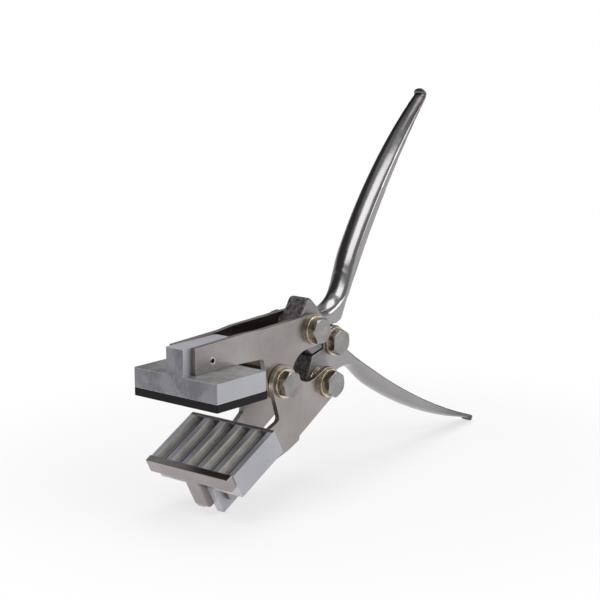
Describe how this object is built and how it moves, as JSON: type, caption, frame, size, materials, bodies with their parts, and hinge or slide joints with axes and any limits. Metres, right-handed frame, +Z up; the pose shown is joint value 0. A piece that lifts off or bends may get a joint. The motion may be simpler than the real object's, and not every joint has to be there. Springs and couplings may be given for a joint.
{
  "type": "tattoo pliers",
  "caption": "Livestock ear tattoo pliers with a rubber-faced upper jaw, a slotted digit tray with a sliding keeper, and two forged handles working through a compound linkage.",
  "frame": {"origin": "middle of the bounding box, at the lowest point of the tool as it stands open", "axes": "+X from the jaws back to the handles, +Z up, -Y towards the bolt heads; the upper jaw is level"},
  "size_m": [0.2578, 0.058, 0.2076],
  "materials": {
    "cast_aluminium": "satin casting",
    "nickel_plate": "satin nickel plating",
    "polished_nickel": "polished nickel plating",
    "bolt_steel": "bright zinc plating",
    "yellow_zinc": "yellow zinc plating",
    "black_rubber": "matte moulded rubber"
  },
  "bodies": {
    "lower_jaw": {"digit_tray": "cast_aluminium", "lower_near_plate": "nickel_plate", "lower_far_plate": "nickel_plate", "lower_head_pin": "bolt_steel", "jaw_pivot_bolt": "bolt_steel", "jaw_pivot_nut": "bolt_steel", "jaw_pivot_washers": "yellow_zinc", "lower_handle_bolt": "bolt_steel", "lower_handle_nut": "bolt_steel", "lower_handle_washers": "yellow_zinc"},
    "upper_jaw": {"upper_head": "cast_aluminium", "rubber_pad": "black_rubber", "upper_near_plate": "nickel_plate", "upper_far_plate": "nickel_plate", "upper_head_pin": "bolt_steel", "jaw_spacer_sleeve": "yellow_zinc", "upper_handle_bolt": "bolt_steel", "upper_handle_nut": "bolt_steel", "upper_handle_washers": "yellow_zinc"},
    "upper_grip": {"upper_handle": "polished_nickel"},
    "lower_grip": {"lower_handle": "polished_nickel", "handle_link_bolt": "bolt_steel", "handle_link_nut": "bolt_steel", "handle_link_washers": "yellow_zinc"},
    "keeper": {"digit_keeper": "nickel_plate"}
  },
  "joints": [
    {"name": "jaw_pivot", "type": "hinge", "parent": "lower_jaw", "child": "upper_jaw", "pos_m": [-0.06132, 0, 0.06286], "axis": [0, -1, 0], "range_deg": [0, 28]},
    {"name": "upper_handle_pivot", "type": "hinge", "parent": "upper_jaw", "child": "upper_grip", "pos_m": [-0.03262, 0, 0.08616], "axis": [0, -1, 0], "range_deg": [-44.9, 0]},
    {"name": "lower_handle_pivot", "type": "hinge", "parent": "lower_jaw", "child": "lower_grip", "pos_m": [-0.025, 0, 0.05595], "axis": [0, -1, 0], "range_deg": [0, 44.9]},
    {"name": "keeper_slide", "type": "slide", "parent": "lower_jaw", "child": "keeper", "axis": [0.4741, 0, -0.8805], "range_m": [0, 0.005]}
  ],
  "couplings": [
    {"joint": "upper_handle_pivot", "follows": "jaw_pivot", "ratio": -1.6},
    {"joint": "lower_handle_pivot", "follows": "jaw_pivot", "ratio": 1.6}
  ]
}
